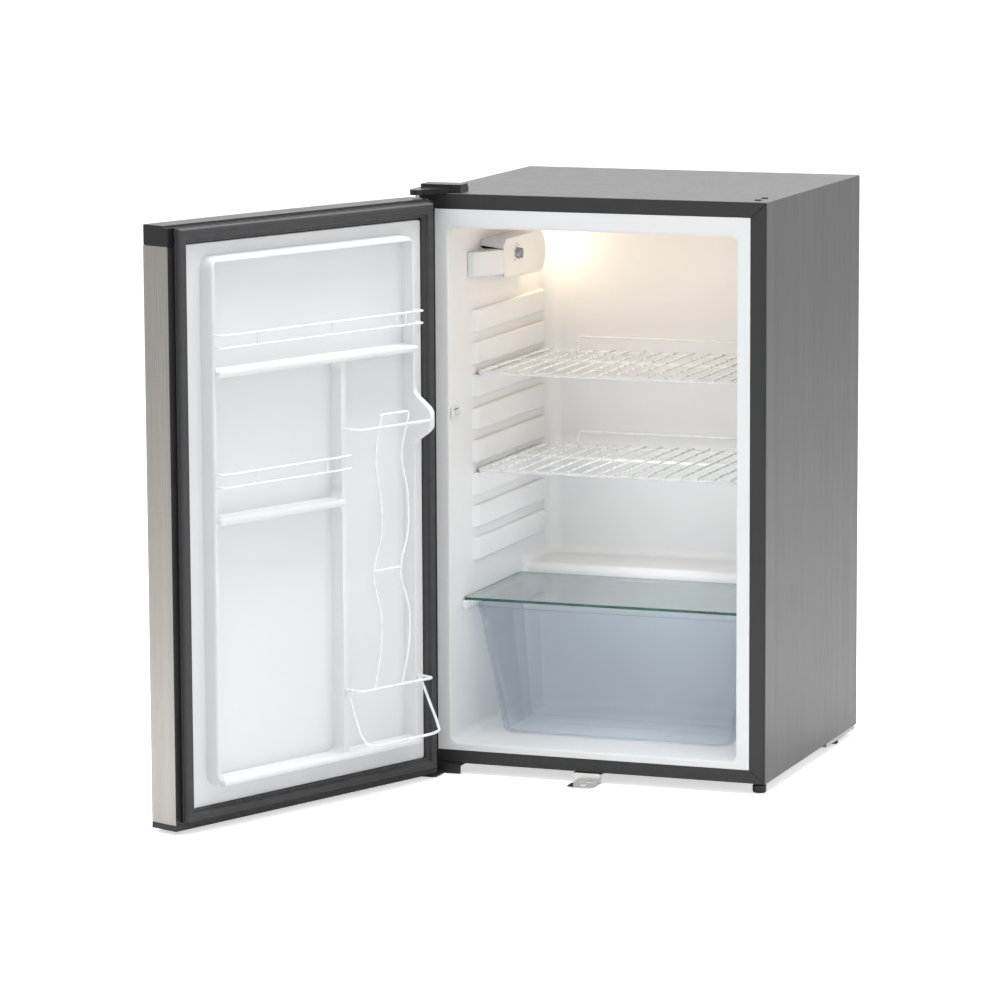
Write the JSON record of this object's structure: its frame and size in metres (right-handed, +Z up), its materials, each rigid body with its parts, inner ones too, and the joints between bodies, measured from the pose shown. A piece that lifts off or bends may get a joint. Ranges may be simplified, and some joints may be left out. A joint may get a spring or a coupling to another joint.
{
  "type": "mini fridge",
  "caption": "Compact upright refrigerator with a swinging stainless door, wire shelves, a glass shelf over a clear crisper drawer, wire door racks and a lit interior.",
  "frame": {"origin": "middle of the base plate underside", "axes": "+X to the right seen from the front, +Y to the back, +Z up; the door stands open at its rest pose"},
  "size_m": [0.6997, 0.9349, 0.8218],
  "materials": {
    "grey_paint": "satin",
    "black_paint": "satin",
    "stainless": "satin",
    "polished_steel": "polished",
    "black_plastic": "satin",
    "gasket_rubber": "matte",
    "white_liner": "satin",
    "white_coat": "satin",
    "white_plastic": "satin",
    "clear_glass": "gloss",
    "clear_plastic": "gloss",
    "foam": "matte",
    "galvanised": "satin",
    "compressor_black": "gloss",
    "copper": "satin",
    "dark_rubber": "matte",
    "lamp_glass": "gloss"
  },
  "bodies": {
    "cabinet": {"base_plate": "galvanised", "bay_cover": "galvanised", "bottom_hinge_bracket": "black_paint", "case_wrap": "grey_paint", "compressor_grommet_1": "dark_rubber", "compressor_grommet_2": "dark_rubber", "compressor_grommet_3": "dark_rubber", "compressor_grommet_4": "dark_rubber", "compressor_shell": "compressor_black", "compressor_terminal_box": "black_plastic", "compressor_tray": "galvanised", "cord_gland": "black_plastic", "discharge_tube": "copper", "drip_tray": "black_plastic", "filter_drier": "copper", "front_frame_bottom": "black_paint", "front_frame_left": "black_paint", "front_frame_right": "black_paint", "front_frame_top": "black_paint", "hinge_hole_plug_1": "black_plastic", "hinge_hole_plug_2": "black_plastic", "inner_liner": "white_liner", "insulation_foam": "foam", "lamp_bulb": "lamp_glass", "lamp_socket": "black_plastic", "lock_strike": "polished_steel", "rear_foot_left": "dark_rubber", "rear_foot_right": "dark_rubber", "rear_panel": "galvanised", "suction_tube": "copper", "switch_body": "white_liner", "thermostat_housing": "white_liner", "top_hinge_bracket": "black_paint", "top_hinge_cover": "black_plastic", "top_hinge_pin": "polished_steel"},
    "door": {"door_skin": "stainless", "door_top_cap": "black_plastic", "door_bush_top": "white_plastic", "door_bottom_cap": "black_plastic", "door_foam": "foam", "door_inner_frame": "black_plastic", "door_liner": "white_liner", "door_gasket": "gasket_rubber", "bin_rail_upper": "white_coat", "bin_rail_lower": "white_coat", "can_rack": "white_coat", "lock_ring": "polished_steel"},
    "lock_cylinder": {"lock_cylinder": "polished_steel"},
    "lock_bolt": {"lock_bolt": "polished_steel"},
    "wire_shelf_upper": {"wire_shelf_upper": "white_coat"},
    "wire_shelf_lower": {"wire_shelf_lower": "white_coat"},
    "glass_shelf": {"glass_shelf": "clear_glass"},
    "crisper_drawer": {"crisper_drawer": "clear_plastic"},
    "thermostat_knob": {"thermostat_knob": "galvanised"},
    "switch_plunger": {"switch_plunger": "white_plastic"},
    "leveling_foot_left": {"leveling_foot_left": "black_plastic"},
    "leveling_foot_right": {"leveling_foot_right": "black_plastic"}
  },
  "joints": [
    {"name": "door_swing", "type": "hinge", "parent": "cabinet", "child": "door", "pos_m": [-0.239, -0.2542, 0.4], "axis": [0, 0, -1], "range_deg": [-112.4, 22.6]},
    {"name": "upper_shelf_slide", "type": "slide", "parent": "cabinet", "child": "wire_shelf_upper", "axis": [0, -1, 0], "range_m": [0, 0.24]},
    {"name": "lower_shelf_slide", "type": "slide", "parent": "cabinet", "child": "wire_shelf_lower", "axis": [0, -1, 0], "range_m": [0, 0.24]},
    {"name": "glass_shelf_slide", "type": "slide", "parent": "cabinet", "child": "glass_shelf", "axis": [0, -1, 0], "range_m": [0, 0.2]},
    {"name": "drawer_slide", "type": "slide", "parent": "cabinet", "child": "crisper_drawer", "axis": [0, -1, 0], "range_m": [0, 0.2]},
    {"name": "thermostat_turn", "type": "hinge", "parent": "cabinet", "child": "thermostat_knob", "pos_m": [-0.172, -0.0435, 0.697], "axis": [1, 0, 0], "range_deg": [-135, 135]},
    {"name": "lamp_switch_press", "type": "slide", "parent": "cabinet", "child": "switch_plunger", "axis": [1, 0, 0], "range_m": [-0.004, 0], "stiffness_N_per_m": 120},
    {"name": "foot_left_turn", "type": "hinge", "parent": "cabinet", "child": "leveling_foot_left", "pos_m": [-0.222, -0.1975, 0], "axis": [0, 0, 1], "continuous": true},
    {"name": "foot_right_turn", "type": "hinge", "parent": "cabinet", "child": "leveling_foot_right", "pos_m": [0.236, -0.2025, 0], "axis": [0, 0, 1], "continuous": true},
    {"name": "lock_turn", "type": "hinge", "parent": "door", "child": "lock_cylinder", "pos_m": [-0.33954, -0.46586, 0.03], "axis": [-0.9245, 0.3811, 0], "range_deg": [0, 90]},
    {"name": "lock_throw", "type": "slide", "parent": "door", "child": "lock_bolt", "axis": [0, 0, -1], "range_m": [0, 0.007]}
  ],
  "couplings": [
    {"joint": "lock_throw", "follows": "lock_turn", "m_per_rad": 0.0044563}
  ]
}
